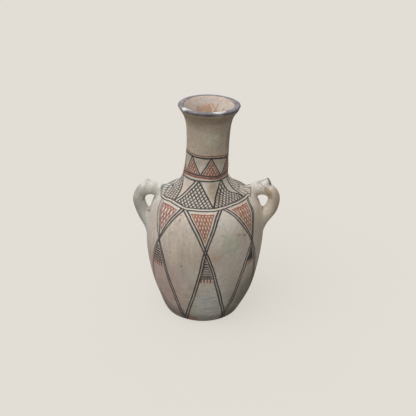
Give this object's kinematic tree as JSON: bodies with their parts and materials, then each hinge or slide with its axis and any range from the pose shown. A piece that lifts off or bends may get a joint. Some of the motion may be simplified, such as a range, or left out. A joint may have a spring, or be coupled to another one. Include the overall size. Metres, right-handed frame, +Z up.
{
  "type": "two-handled water jar",
  "caption": "Hand-built earthenware water jar with a swelling body, a sharp shoulder, a long neck with a flared mouth, small loop handles with thumb spurs and painted hatched triangles.",
  "frame": {"origin": "middle of the flat underside", "axes": "+Z up along the neck, +X towards the right handle, so that the painted front faces -Y"},
  "size_m": [0.22, 0.178, 0.33],
  "materials": {
    "painted_slip": "matt cream slip with painted black and red-brown lines",
    "bare_slip": "matt cream slip",
    "dark_rim": "matt dark painted lip"
  },
  "bodies": {
    "root": {"base_disc": "bare_slip", "foot_course": "painted_slip", "lower_course": "painted_slip", "belly_course": "painted_slip", "chest_course": "painted_slip", "upper_course": "painted_slip", "shoulder": "painted_slip", "neck_tube": "painted_slip", "mouth_flare": "painted_slip", "rim_coil": "dark_rim", "left_handle": "bare_slip", "left_upper_collar": "bare_slip", "left_lower_collar": "bare_slip", "left_thumb_spur": "bare_slip", "right_handle": "bare_slip", "right_upper_collar": "bare_slip", "right_lower_collar": "bare_slip", "right_thumb_spur": "bare_slip"}
  },
  "joints": []
}
